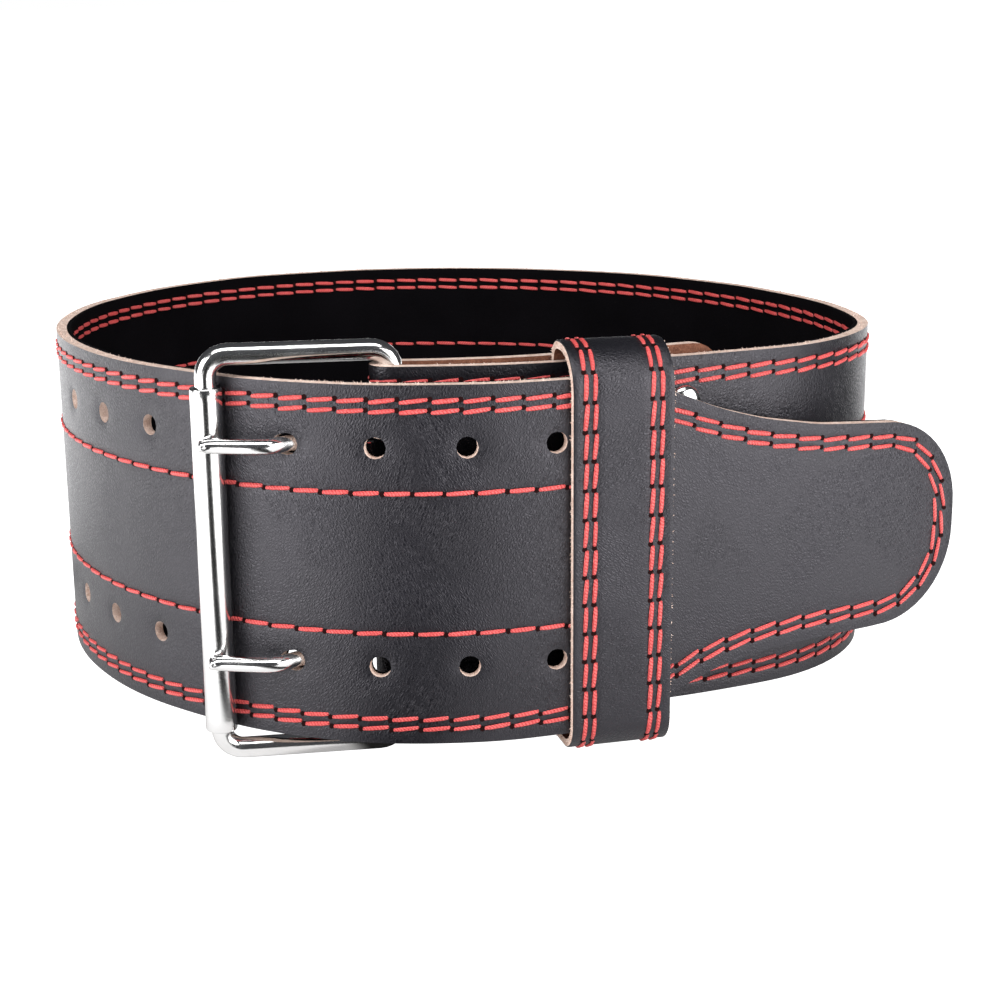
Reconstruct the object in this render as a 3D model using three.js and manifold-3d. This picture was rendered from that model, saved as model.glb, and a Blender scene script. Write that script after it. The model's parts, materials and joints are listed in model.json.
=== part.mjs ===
// Weightlifting belt, buckled into a standing loop: leather strap with suede lining,
// keeper loop, roller buckle with two prongs, and two rivets. Millimetres, +Z up.
import * as THREE from 'three';
import { mergeVertices } from 'three/addons/utils/BufferGeometryUtils.js';
import Module from 'manifold-3d';

const wasm = await Module();
wasm.setup();

// Strap
const strapWidth = 100;
const leather = 3.2;
const suede = 1.0;
const loopRun = 956;
const flapLength = 97;
const tongueLength = 118;
const tipRadius = 27;
const flapCorner = 9;
const liningClear = 2.5;
const closingRise = 3;
const flapLift = 2;
const startHeading = 3.1;
const restShare = 0.344;

// Holes
const holeDiameter = 6;
const holePitch = 24.65;
const holeRowHigh = 83;
const holeRowLow = 22;
const holesBeforeProng = 4;
const holesAfterProng = 3;
const prongHoleAhead = 21.6;

// Buckle
const barDiameter = 6;
const frameSpan = 50.4;
const frameHeight = 112.2;
const frameDrop = 2.2;
const frameCorner = 6;
const rollerDiameter = 8.8;
const rollerLength = 97.5;
const prongDiameter = 4.4;
const prongEyeWall = 2.6;
const prongTipPast = 2.4;
const slotHeight = 5.6;

// Keeper and rivets
const keeperWidth = 28.5;
const keeperLeather = 2.4;
const keeperDrop = 3.1;
const keeperHead = 2.7;
const keeperCorner = 3.5;
const keeperShoulder = 6;
const keeperAt = 59;
const rivetAt = 82;
const rivetInset = 13;
const rivetHead = 9.7;
const rivetDome = 2.2;
const rivetShank = 4;
const rivetCapShare = 0.9;

// Fits
const gap = 0.3;
const stationStep = 8;

// Colours seen on the object
const black = 0x17171a;
const suedeBlack = 0x0b0b0d;
const nickel = 0xc8c8cc;

// The loop in plan, from the fold at the buckle round to the tip of the tongue.
// Each bend is an arc: its share of loopRun and the degrees that it turns.
const bends = [
  { name: 'front', share: 0.0575, turn: 10.5 },
  { name: 'shoulder', share: 0.0607, turn: 14.6 },
  { name: 'right bend', share: 0.0833, turn: 66.8 },
  { name: 'right back', share: 0.1219, turn: 42.7 },
  { name: 'back', share: 0.1310, turn: 52.1 },
  { name: 'back corner', share: 0.0855, turn: 44.2 },
  { name: 'left bend', share: 0.1334, turn: 58.8 },
  { name: 'left front', share: 0.1086, turn: 43.4 },
  { name: 'buckle', share: 0.0734, turn: 39.6 },
  { name: 'under keeper', share: 0.0851, turn: 6.5 },
  { name: 'tongue', share: 0.0596, turn: 7.3 },
];

// The tongue's edges above and below its middle, as shares of half the strap's width,
// by share of the tongue's length from its tip.
const tongueTaper = [
  { along: 0, above: 0.61, below: 0.61 },
  { along: 0.24, above: 0.612, below: 0.612 },
  { along: 0.42, above: 0.64, below: 0.625 },
  { along: 0.57, above: 0.7, below: 0.66 },
  { along: 0.69, above: 0.78, below: 0.72 },
  { along: 0.84, above: 0.92, below: 0.87 },
  { along: 1, above: 1, below: 1 },
];

const strapThickness = leather + gap + suede;
const barRadius = barDiameter / 2;
const foldRadius = barRadius + gap + leather / 2;
const liningStart = flapLength + liningClear;

const smooth = (t) => THREE.MathUtils.smoothstep(t, 0, 1);

function tabled(table, key, value, at) {
  const next = table.findIndex((row) => row[key] >= at);
  if (next < 0) return table[table.length - 1][value];
  if (next === 0) return table[0][value];
  const [a, b] = [table[next - 1], table[next]];
  return THREE.MathUtils.lerp(a[value], b[value], (at - a[key]) / (b[key] - a[key]));
}

// Point on the grain face of the loop at distance s, its heading and its outward normal.
function loopFace(s) {
  let at = new THREE.Vector2(0, 0);
  let heading = THREE.MathUtils.degToRad(startHeading);
  let left = s;
  for (const [i, bend] of bends.entries()) {
    const run = bend.share * loopRun;
    const take = i === bends.length - 1 ? left : Math.min(left, run);
    const turn = (THREE.MathUtils.degToRad(bend.turn) * take) / run;
    const chord = (2 * Math.sin(turn / 2) * take) / (turn || 1);
    const along = turn ? chord : take;
    at = at.clone().add(new THREE.Vector2(Math.cos(heading + turn / 2), Math.sin(heading + turn / 2))
      .multiplyScalar(along));
    heading += turn;
    left -= take;
    if (left <= 0) break;
  }
  const outward = new THREE.Vector2(Math.sin(heading), -Math.cos(heading));
  return { at, heading, outward };
}

const rise = (s) => closingRise * (1 - s / loopRun);

// How far the strap reaches above or below its middle, with the tongue's round tip.
function reach(s, side) {
  const fromTip = loopRun - s;
  const half = strapWidth / 2 * tabled(tongueTaper, 'along', side, fromTip / tongueLength);
  if (fromTip >= tipRadius) return half;
  return half - tipRadius + Math.sqrt(tipRadius ** 2 - (tipRadius - fromTip) ** 2);
}

// How far a straight edge of this width stands off the loop where it bends.
function bow(s, width) {
  const [before, after] = [loopFace(s - width / 2).at, loopFace(s + width / 2).at];
  return loopFace(s).at.distanceTo(before.lerp(after, 0.5));
}

// How far the flap's middle lies behind the front layer's middle, by distance from the fold.
function flapApart(s) {
  const atFold = 2 * foldRadius;
  const atKeeper = leather + keeperLeather + 2 * gap + bow(keeperAt, keeperWidth);
  const keeperStart = keeperAt - keeperWidth / 2;
  return THREE.MathUtils.lerp(atFold, atKeeper, smooth(s / keeperStart));
}

// Distances along the strap where its sections stand: even steps, closer near the tip.
function loopStations(from) {
  const tipStart = loopRun - tipRadius;
  const even = Math.ceil((tipStart - from) / stationStep);
  const rows = Array.from({ length: even }, (_, i) => from + ((tipStart - from) * i) / even);
  const tipSteps = 9;
  for (let i = 0; i <= tipSteps; i += 1) {
    rows.push(tipStart + tipRadius * Math.sin((i / tipSteps) * Math.PI / 2));
  }
  return rows;
}

function sectionOnLoop(s, outer, inner) {
  const { at, outward } = loopFace(s);
  const middle = strapWidth / 2 + rise(s);
  return {
    outer: at.clone().addScaledVector(outward, -outer),
    inner: at.clone().addScaledVector(outward, -inner),
    low: middle - reach(s, 'below'),
    high: middle + reach(s, 'above'),
  };
}

function sectionOnFold(angle) {
  const { outward } = loopFace(0);
  const arm = outward.clone().rotateAround(new THREE.Vector2(), -angle);
  const axis = pivotAxis();
  return {
    outer: axis.clone().addScaledVector(arm, foldRadius + leather / 2),
    inner: axis.clone().addScaledVector(arm, foldRadius - leather / 2),
    low: rise(0),
    high: rise(0) + strapWidth,
  };
}

function sectionOnFlap(s) {
  const { at, outward } = loopFace(s);
  const middle = flapApart(s) + leather / 2;
  const lift = rise(0) + flapLift * smooth(s / flapLength);
  const fromEnd = flapLength - s;
  const round = Math.max(0, flapCorner - fromEnd);
  const short = flapCorner - Math.sqrt(flapCorner ** 2 - round ** 2);
  return {
    outer: at.clone().addScaledVector(outward, -middle - leather / 2),
    inner: at.clone().addScaledVector(outward, -middle + leather / 2),
    low: lift + short,
    high: lift + strapWidth - short,
  };
}

// A strip of four-cornered sections, closed at both ends.
function ribbon(sections) {
  const geometry = new THREE.BoxGeometry(1, 1, 1, sections.length - 1, 1, 1);
  const position = geometry.attributes.position;
  for (let i = 0; i < position.count; i += 1) {
    const section = sections[Math.round((position.getX(i) + 0.5) * (sections.length - 1))];
    const side = position.getY(i) < 0 ? section.outer : section.inner;
    position.setXYZ(i, side.x, side.y, position.getZ(i) < 0 ? section.low : section.high);
  }
  return geometry;
}

function toSolid(geometry) {
  const bare = geometry.clone();
  bare.deleteAttribute('normal');
  bare.deleteAttribute('uv');
  bare.clearGroups();
  const welded = mergeVertices(bare, 1e-4);
  return new wasm.Manifold(new wasm.Mesh({
    numProp: 3,
    vertProperties: new Float32Array(welded.attributes.position.array),
    triVerts: new Uint32Array(welded.index.array),
  }));
}

function toGeometry(solid) {
  const mesh = solid.getMesh();
  const geometry = new THREE.BufferGeometry();
  geometry.setAttribute('position', new THREE.BufferAttribute(new Float32Array(mesh.vertProperties), 3));
  geometry.setIndex(new THREE.BufferAttribute(new Uint32Array(mesh.triVerts), 1));
  geometry.computeVertexNormals();
  return geometry;
}

// A round pin or cutter whose axis lies along a direction in plan.
function plugAlong(centre, direction, height, radius, length, sides) {
  const plug = new THREE.CylinderGeometry(radius, radius, length, sides);
  const way = new THREE.Vector3(direction.x, direction.y, 0);
  plug.applyQuaternion(new THREE.Quaternion().setFromUnitVectors(new THREE.Vector3(0, 1, 0), way));
  return plug.translate(centre.x, centre.y, height);
}

function pivotAxis() {
  const { at, outward } = loopFace(0);
  return at.clone().addScaledVector(outward, -(leather + gap + barRadius));
}

// The roller rides on the strap where the frame's span reaches the strap's grain face.
function findRoller() {
  const pivot = pivotAxis();
  const clear = rollerDiameter / 2 + gap;
  const scan = 0.25;
  for (let s = loopRun - tongueLength; s > 0; s -= scan) {
    const { at, outward } = loopFace(s);
    const axis = at.clone().addScaledVector(outward, clear);
    if (axis.x < pivot.x && axis.distanceTo(pivot) >= frameSpan) return { s, axis };
  }
  throw new Error('the frame does not reach the strap');
}

const pivot = pivotAxis();
const rollerSeat = findRoller();
const prongHole = rollerSeat.s + prongHoleAhead;
const frameWay = rollerSeat.axis.clone().sub(pivot).normalize();
const frameFront = new THREE.Vector2(-frameWay.y, frameWay.x);

// A prong's centre line in plan: from its eye, through the hole, to its rest on the roller.
function prongLine() {
  const { at, outward } = loopFace(prongHole);
  const shank = prongDiameter / 2;
  const rest = rollerDiameter / 2 + gap + shank;
  const eye = pivot.clone().addScaledVector(frameWay, barRadius + gap + prongEyeWall / 2);
  const behind = at.clone().addScaledVector(outward, -strapThickness - gap)
    .addScaledVector(frameWay, -prongDiameter);
  const through = at.clone().addScaledVector(outward, -strapThickness / 3);
  const proud = at.clone().addScaledVector(outward, shank + gap).addScaledVector(frameWay, prongDiameter);
  const onRoller = rollerSeat.axis.clone().addScaledVector(frameFront, rest);
  const tip = onRoller.clone().addScaledVector(frameWay, prongTipPast).addScaledVector(frameFront, -gap);
  return [eye, behind, through, proud, onRoller, tip];
}

function prongTube(height, radius, sides) {
  const points = prongLine().map((p) => new THREE.Vector3(p.x, p.y, height));
  const path = new THREE.CatmullRomCurve3(points, false, 'centripetal');
  const round = new THREE.Shape().absarc(0, 0, radius, 0, 2 * Math.PI);
  return new THREE.ExtrudeGeometry(round, {
    steps: 22, curveSegments: sides, extrudePath: path, bevelEnabled: false,
  });
}

function punched(geometry, cutters) {
  return toGeometry(cutters.reduce((solid, cutter) => solid.subtract(toSolid(cutter)), toSolid(geometry)));
}

function punchCutters() {
  const cutters = [];
  for (let i = -holesBeforeProng; i <= holesAfterProng; i += 1) {
    const s = prongHole + i * holePitch;
    const { at, outward } = loopFace(s);
    for (const row of [holeRowLow, holeRowHigh]) {
      const height = row + rise(s);
      cutters.push(plugAlong(at, outward, height, holeDiameter / 2, 4 * strapThickness, 12));
    }
  }
  for (const height of prongHeights) cutters.push(prongTube(height, prongDiameter / 2 + gap, 6));
  return cutters;
}

const prongHeights = [holeRowLow, holeRowHigh].map((row) => row + rise(prongHole));

// The pivot slots let each prong's eye stand inside the fold.
function slotCutters() {
  const slot = barRadius + gap + prongEyeWall + 2 * gap + leather / 2;
  return prongHeights.map((height) => new THREE.CylinderGeometry(slot, slot, slotHeight, 24)
    .rotateX(Math.PI / 2).translate(pivot.x, pivot.y, height));
}

const rivetHeights = [rivetInset, strapWidth - rivetInset].map((inset) => inset + rise(rivetAt));

function rivetCutters() {
  const { at, outward } = loopFace(rivetAt);
  const depth = flapApart(rivetAt) + leather;
  const centre = at.clone().addScaledVector(outward, -depth / 2);
  const hole = rivetShank / 2 + gap;
  return rivetHeights.map((height) => plugAlong(centre, outward, height, hole, depth + leather, 12));
}

function strapGeometry() {
  const flapSteps = 16;
  const cornerSteps = 5;
  const foldSteps = 10;
  const sections = [];
  for (let i = 0; i < cornerSteps; i += 1) {
    sections.push(sectionOnFlap(flapLength - flapCorner * (1 - Math.cos((i / cornerSteps) * Math.PI / 2))));
  }
  for (let i = 0; i < flapSteps; i += 1) {
    sections.push(sectionOnFlap((flapLength - flapCorner) * (1 - i / flapSteps)));
  }
  for (let i = 0; i < foldSteps; i += 1) sections.push(sectionOnFold(Math.PI * (1 - i / foldSteps)));
  for (const s of loopStations(0)) sections.push(sectionOnLoop(s, 0, leather));
  const cutters = [...punchCutters(), ...slotCutters(), ...rivetCutters(), frameCutter()];
  return punched(ribbon(sections), cutters);
}

function liningGeometry() {
  const sections = loopStations(liningStart)
    .map((s) => sectionOnLoop(s, leather + gap, strapThickness));
  return punched(ribbon(sections), punchCutters());
}

// A rounded rectangle as a path for a shape or its hole, rounder on its right.
function roundedRect(path, left, low, right, high, corner, shoulder) {
  path.moveTo(left + corner, low);
  path.lineTo(right - shoulder, low);
  path.absarc(right - shoulder, low + shoulder, shoulder, -Math.PI / 2, 0);
  path.lineTo(right, high - shoulder);
  path.absarc(right - shoulder, high - shoulder, shoulder, 0, Math.PI / 2);
  path.lineTo(left + corner, high);
  path.absarc(left + corner, high - corner, corner, Math.PI / 2, Math.PI);
  path.lineTo(left, low + corner);
  path.absarc(left + corner, low + corner, corner, Math.PI, 1.5 * Math.PI);
  return path;
}

// The keeper wraps the front layer and the tongue, square to the strap.
function keeperSeat() {
  const { at, outward, heading } = loopFace(keeperAt);
  const way = new THREE.Vector2(Math.cos(heading), Math.sin(heading));
  let front = 0;
  const scan = 1;
  for (let s = prongHole; s < loopRun; s += scan) {
    const offset = loopFace(s).at.clone().sub(at);
    if (Math.abs(offset.dot(way)) > keeperWidth / 2) continue;
    front = Math.max(front, offset.dot(outward));
  }
  return { at, outward, heading, front: front + 2 * gap, back: -leather - gap - bow(keeperAt, keeperWidth) };
}

function keeperGeometry() {
  const { front, back } = keeperSeat();
  const low = -keeperDrop;
  const high = strapWidth + rise(keeperAt) + keeperHead;
  const wall = keeperLeather;
  const ring = new THREE.Shape();
  roundedRect(ring, back - wall, low - wall, front + wall, high + wall,
    keeperCorner + wall, keeperShoulder + wall);
  ring.holes.push(roundedRect(new THREE.Path(), back, low, front, high, keeperCorner, keeperShoulder));
  const geometry = new THREE.ExtrudeGeometry(ring, {
    depth: keeperWidth, bevelEnabled: false, curveSegments: 5,
  });
  return geometry.translate(0, 0, -keeperWidth / 2);
}

// The frame is one bent rod: its ends meet inside the roller.
class FramePath extends THREE.Curve {
  constructor() {
    super();
    const [half, tall, r] = [frameSpan / 2, frameHeight / 2, frameCorner];
    const outline = new THREE.Path();
    outline.moveTo(-half, -gap / 2);
    outline.lineTo(-half, -tall + r);
    outline.absarc(-half + r, -tall + r, r, Math.PI, 1.5 * Math.PI);
    outline.lineTo(half - r, -tall);
    outline.absarc(half - r, -tall + r, r, -Math.PI / 2, 0);
    outline.lineTo(half, tall - r);
    outline.absarc(half - r, tall - r, r, 0, Math.PI / 2);
    outline.lineTo(-half + r, tall);
    outline.absarc(-half + r, tall - r, r, Math.PI / 2, Math.PI);
    outline.lineTo(-half, gap / 2);
    this.outline = outline;
  }

  getPoint(t, target = new THREE.Vector3()) {
    const flat = this.outline.getPoint(t);
    return target.set(flat.x, flat.y, 0);
  }
}

function frameGeometry(radius, steps, sides) {
  const round = new THREE.Shape().absarc(0, 0, radius, 0, 2 * Math.PI);
  return new THREE.ExtrudeGeometry(round, {
    steps, curveSegments: sides, extrudePath: new FramePath(), bevelEnabled: false,
  }).rotateX(Math.PI / 2);
}

// The fold's corners are notched where the frame bends past them.
function frameCutter() {
  return frameGeometry(barRadius + gap, 100, 6).applyMatrix4(buckle.matrix);
}

function rollerGeometry() {
  const [bore, skin, half] = [barRadius + gap, rollerDiameter / 2, rollerLength / 2];
  const profile = [[bore, -half], [skin, -half], [skin, half], [bore, half], [bore, -half]];
  return new THREE.LatheGeometry(profile.map(([r, y]) => new THREE.Vector2(r, y)), 24).rotateX(Math.PI / 2);
}

function prongGeometry(height) {
  const eyeRadius = barRadius + gap + prongEyeWall;
  const eye = new THREE.CylinderGeometry(eyeRadius, eyeRadius, prongDiameter, 20)
    .rotateX(Math.PI / 2).translate(pivot.x, pivot.y, height);
  const bore = new THREE.CylinderGeometry(barRadius + gap, barRadius + gap, 2 * prongDiameter, 20)
    .rotateX(Math.PI / 2).translate(pivot.x, pivot.y, height);
  const shank = prongTube(height, prongDiameter / 2, 5);
  return toGeometry(toSolid(eye).add(toSolid(shank)).subtract(toSolid(bore)));
}

// Domed head on the grain side, shank through both layers, and a flat cap behind.
function rivetGeometry() {
  const [shank, head] = [rivetShank / 2, rivetHead / 2];
  const depth = flapApart(rivetAt) + leather + gap + bow(rivetAt, rivetHead);
  const cap = rivetDome / 2;
  const domeSteps = 5;
  const profile = [new THREE.Vector2(0, -depth - cap), new THREE.Vector2(head * rivetCapShare, -depth - cap)];
  profile.push(new THREE.Vector2(head * rivetCapShare, -depth), new THREE.Vector2(shank, -depth));
  profile.push(new THREE.Vector2(shank, gap), new THREE.Vector2(head, gap));
  for (let i = 0; i <= domeSteps; i += 1) {
    const turn = (i / domeSteps) * Math.PI / 2;
    profile.push(new THREE.Vector2(head * Math.cos(turn), gap * 2 + rivetDome * Math.sin(turn)));
  }
  profile[profile.length - 1].x = 0;
  return new THREE.LatheGeometry(profile, 16);
}

function named(name, geometry, color, metalness, roughness) {
  const mesh = new THREE.Mesh(geometry, new THREE.MeshStandardMaterial({ color, metalness, roughness }));
  mesh.name = name;
  return mesh;
}

const group = new THREE.Group();
const belt = new THREE.Group();
group.add(belt);

const buckle = new THREE.Group();
const frameLow = -frameDrop - barRadius;
const frameMiddle = pivot.clone().lerp(rollerSeat.axis, 0.5);
buckle.position.set(frameMiddle.x, frameMiddle.y, frameLow + frameHeight / 2);
buckle.rotation.z = Math.atan2(-frameWay.y, -frameWay.x);
belt.add(buckle);
buckle.updateMatrix();
buckle.add(named('buckle_frame', frameGeometry(barRadius, 88, 5), nickel, 1, 0.18));
const roller = named('roller', rollerGeometry(), nickel, 1, 0.15);
roller.position.x = -frameSpan / 2;
roller.position.z = (rollerLength - frameHeight) / 2 + frameCorner;
buckle.add(roller);

belt.add(named('belt_strap', strapGeometry(), black, 0, 0.55));
belt.add(named('suede_lining', liningGeometry(), suedeBlack, 0, 0.95));

const seat = keeperSeat();
const keeper = named('keeper_loop', keeperGeometry(), black, 0, 0.55);
const keeperTurn = new THREE.Matrix4().makeBasis(
  new THREE.Vector3(seat.outward.x, seat.outward.y, 0),
  new THREE.Vector3(0, 0, 1),
  new THREE.Vector3(seat.outward.y, -seat.outward.x, 0),
);
keeper.setRotationFromMatrix(keeperTurn);
keeper.position.set(seat.at.x, seat.at.y, 0);
belt.add(keeper);

belt.add(named('prong_lower', prongGeometry(prongHeights[0]), nickel, 1, 0.2));
belt.add(named('prong_upper', prongGeometry(prongHeights[1]), nickel, 1, 0.2));

const rivetFace = loopFace(rivetAt);
['rivet_lower', 'rivet_upper'].forEach((name, i) => {
  const rivet = named(name, rivetGeometry(), nickel, 1, 0.2);
  rivet.quaternion.setFromUnitVectors(new THREE.Vector3(0, 1, 0),
    new THREE.Vector3(rivetFace.outward.x, rivetFace.outward.y, 0));
  rivet.position.set(rivetFace.at.x, rivetFace.at.y, rivetHeights[i]);
  belt.add(rivet);
});

// The belt stands on its frame and on the strap's lower edge at the back.
function standing() {
  const edge = (s) => {
    const { at } = loopFace(s);
    return new THREE.Vector3(at.x, at.y, rise(s));
  };
  const back = edge(restShare * loopRun);
  const onward = edge(restShare * loopRun + stationStep);
  const foot = new THREE.Vector3(frameSpan / 2 - frameCorner, 0, -frameHeight / 2 - barRadius);
  foot.applyMatrix4(buckle.matrix);
  const floor = new THREE.Plane().setFromCoplanarPoints(foot, back, onward);
  if (floor.normal.z < 0) floor.negate();
  return new THREE.Quaternion().setFromUnitVectors(floor.normal, new THREE.Vector3(0, 0, 1));
}

belt.quaternion.copy(standing());
group.updateMatrixWorld(true);
const box = new THREE.Box3().setFromObject(belt, true);
const middle = box.getCenter(new THREE.Vector3());
belt.position.set(-middle.x, -middle.y, -box.min.z);

export default group;
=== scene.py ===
import bisect
import json
import math
import random

import bmesh
import bpy
from mathutils import Matrix, Vector, noise


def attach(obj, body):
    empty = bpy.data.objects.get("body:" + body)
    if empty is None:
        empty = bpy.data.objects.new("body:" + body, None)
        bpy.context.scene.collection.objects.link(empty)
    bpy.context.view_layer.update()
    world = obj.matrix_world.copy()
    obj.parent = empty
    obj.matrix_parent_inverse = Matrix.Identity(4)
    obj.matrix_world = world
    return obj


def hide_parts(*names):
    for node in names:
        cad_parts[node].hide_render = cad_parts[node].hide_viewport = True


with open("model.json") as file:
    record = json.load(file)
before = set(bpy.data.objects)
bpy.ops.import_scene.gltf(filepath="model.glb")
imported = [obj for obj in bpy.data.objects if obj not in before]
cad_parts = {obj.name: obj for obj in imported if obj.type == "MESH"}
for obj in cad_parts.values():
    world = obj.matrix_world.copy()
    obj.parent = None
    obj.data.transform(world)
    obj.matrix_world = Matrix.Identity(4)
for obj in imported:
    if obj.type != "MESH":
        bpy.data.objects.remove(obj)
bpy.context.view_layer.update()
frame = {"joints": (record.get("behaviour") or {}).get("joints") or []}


# The leather strap is one cut of black full-grain hide, 100 mm wide and 3.2 mm thick, with a
# narrowed round tongue. It is cut flat, punched with two rows of holes, then folded round the
# buckle's bar and curved into the loop that the belt stands in. Sizes are millimetres.
STRAP_WIDTH = 100
MIDDLE = STRAP_WIDTH / 2
LEATHER = 3.2
GAP = 0.3
LOOP_RUN = 956
FLAP_RUN = 97
FLAP_CORNER = 9
FLAP_LIFT = 2
TONGUE_RUN = 118
TONGUE_START = LOOP_RUN - TONGUE_RUN
TIP_RADIUS = 27
CLOSING_RISE = 3
START_HEADING = 3.1
BENDS = (
    (0.0575, 10.5), (0.0607, 14.6), (0.0833, 66.8), (0.1219, 42.7), (0.1310, 52.1), (0.0855, 44.2),
    (0.1334, 58.8), (0.1086, 43.4), (0.0734, 39.6), (0.0851, 6.5), (0.0596, 7.3),
)
TONGUE_TAPER = (
    (0, 0.61, 0.61), (0.24, 0.612, 0.612), (0.42, 0.64, 0.625), (0.57, 0.7, 0.66),
    (0.69, 0.78, 0.72), (0.84, 0.92, 0.87), (1, 1, 1),
)
HOLE_PITCH = 24.65
HOLE_ROWS = (22, 83)
HOLE_RADIUS = 3.0
PRONG_HOLE_AHEAD = 21.6
SLOT_REACH = 4.8
BAR_RADIUS = 3.0
FRAME_SPAN = 50.4
FRAME_HEIGHT = 112.2
FRAME_DROP = 2.2
FRAME_CORNER = 6
ROLLER_RADIUS = 4.4
ROLLER_LENGTH = 97.5
KEEPER_AT = 59
KEEPER_WIDTH = 28.5
KEEPER_LEATHER = 2.4
FOLD_RADIUS = BAR_RADIUS + GAP + LEATHER / 2
FOLD_RUN = math.pi * FOLD_RADIUS
STRAP_START = -FOLD_RUN - FLAP_RUN

bend_starts = [(0.0, 0.0, 0.0, math.radians(START_HEADING))]
for share, degrees in BENDS:
    s, x, y, heading = bend_starts[-1]
    run, turn = share * LOOP_RUN, math.radians(degrees)
    chord = 2 * math.sin(turn / 2) * run / turn
    middle = heading + turn / 2
    x += math.cos(middle) * chord
    y += math.sin(middle) * chord
    bend_starts.append((s + run, x, y, heading + turn))
bend_marks = [start[0] for start in bend_starts[:-1]]


def loop_face(s):
    """Plan point of the loop's grain face at run s, and the outward normal there."""
    i = max(0, bisect.bisect_right(bend_marks, s) - 1)
    start, x, y, heading = bend_starts[i]
    bend = math.radians(BENDS[i][1]) / (BENDS[i][0] * LOOP_RUN)
    turn = bend * (s - start)
    chord = 2 * math.sin(turn / 2) / bend
    middle = heading + turn / 2
    point = Vector((x + math.cos(middle) * chord, y + math.sin(middle) * chord))
    heading += turn
    return point, Vector((math.sin(heading), -math.cos(heading)))


def rise(s):
    """How much higher the strap's lower edge lies at run s than at the tongue's tip."""
    return CLOSING_RISE * (1 - s / LOOP_RUN)


def smooth(t):
    """Nought to one with soft ends."""
    t = min(1, max(0, t))
    return t * t * (3 - 2 * t)


def bow(s, width):
    """How far the loop's face bows from its chord over a width."""
    before, after = loop_face(s - width / 2)[0], loop_face(s + width / 2)[0]
    return (loop_face(s)[0] - (before + after) / 2).length


pivot = loop_face(0)[0] - loop_face(0)[1] * (LEATHER + GAP + BAR_RADIUS)
apart_at_keeper = LEATHER + KEEPER_LEATHER + 2 * GAP + bow(KEEPER_AT, KEEPER_WIDTH)


def worn(u, v, depth):
    """Where a point of the flat strap goes when it is worn: u along it from the fold, v across it
    from its lower edge, and depth under its grain face."""
    if u >= 0:
        point, outward = loop_face(u)
        place = point - outward * depth
        return Vector((place.x, place.y, v + rise(u)))
    if u >= -FOLD_RUN:
        outward = loop_face(0)[1]
        angle = u / FOLD_RUN * math.pi
        arm = Vector((outward.x * math.cos(angle) - outward.y * math.sin(angle),
                      outward.x * math.sin(angle) + outward.y * math.cos(angle)))
        place = pivot + arm * (FOLD_RADIUS + LEATHER / 2 - depth)
        return Vector((place.x, place.y, v + rise(0)))
    s = -u - FOLD_RUN
    point, outward = loop_face(s)
    settle = smooth(s / (KEEPER_AT - KEEPER_WIDTH / 2))
    apart = 2 * FOLD_RADIUS + (apart_at_keeper - 2 * FOLD_RADIUS) * settle
    place = point - outward * (apart + LEATHER - depth)
    return Vector((place.x, place.y, v + rise(0) + FLAP_LIFT * smooth(s / FLAP_RUN)))


# The roller rides on the strap where the frame's span from the pivot reaches it.
roller_run = TONGUE_START
roller_plan = pivot
while roller_plan.x >= pivot.x or (roller_plan - pivot).length < FRAME_SPAN:
    point, outward = loop_face(roller_run)
    roller_plan = point + outward * (ROLLER_RADIUS + GAP)
    roller_run -= 0.25
PRONG_HOLE = roller_run + 0.25 + PRONG_HOLE_AHEAD
hole_runs = [PRONG_HOLE + i * HOLE_PITCH for i in range(-4, 4)]
frame_low = -FRAME_DROP - BAR_RADIUS
roller_up = frame_low + FRAME_HEIGHT / 2 + (ROLLER_LENGTH - FRAME_HEIGHT) / 2 + FRAME_CORNER
roller_seat = Vector((roller_plan.x, roller_plan.y, roller_up))

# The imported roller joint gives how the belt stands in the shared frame.
roller_joint = frame["joints"][0]
lean = Vector((0, 0, 1)).rotation_difference(Vector(roller_joint["axis"])).to_matrix().to_4x4()
stand = (Matrix.Translation(Vector(roller_joint["pos_m"])) @ lean @ Matrix.Scale(0.001, 4)
         @ Matrix.Translation(-roller_seat))


def taper(u, column):
    """Half width at run u as a share, above (column 1) or below (column 2) the strap's middle."""
    total = 0
    for shift in (-0.03, -0.015, 0, 0.015, 0.03):
        at = min(1, max(0, (LOOP_RUN - u) / TONGUE_RUN + shift))
        row = next(i for i in range(1, len(TONGUE_TAPER)) if at <= TONGUE_TAPER[i][0])
        low, high = TONGUE_TAPER[row - 1], TONGUE_TAPER[row]
        total += low[column] + (high[column] - low[column]) * (at - low[0]) / (high[0] - low[0])
    return total / 5


TIP_CENTRE = LOOP_RUN - TIP_RADIUS
TIP_FLAT = STRAP_WIDTH / 2 * TONGUE_TAPER[0][1] - TIP_RADIUS


def stations(start):
    """Runs at which the flat cut may bend: close together at the holes and in the fold."""
    marks = [c + step for c in hole_runs for step in (-4.5, -3, -1.5, 0, 1.5, 3, 4.5)]
    if start < 0:
        fold_steps = 20
        reach = FOLD_RUN + 2 * SLOT_REACH
        marks += [-FOLD_RUN - SLOT_REACH + reach * i / fold_steps for i in range(fold_steps + 1)]
    even = int((TONGUE_START - start) / 4)
    fill = [start + (TONGUE_START - start) * i / even for i in range(even + 1)]
    ends = (fill[0], fill[-1])
    marks += [u for u in fill if u in ends or all(abs(u - m) > 2.2 for m in marks)]
    return sorted(marks)


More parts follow.
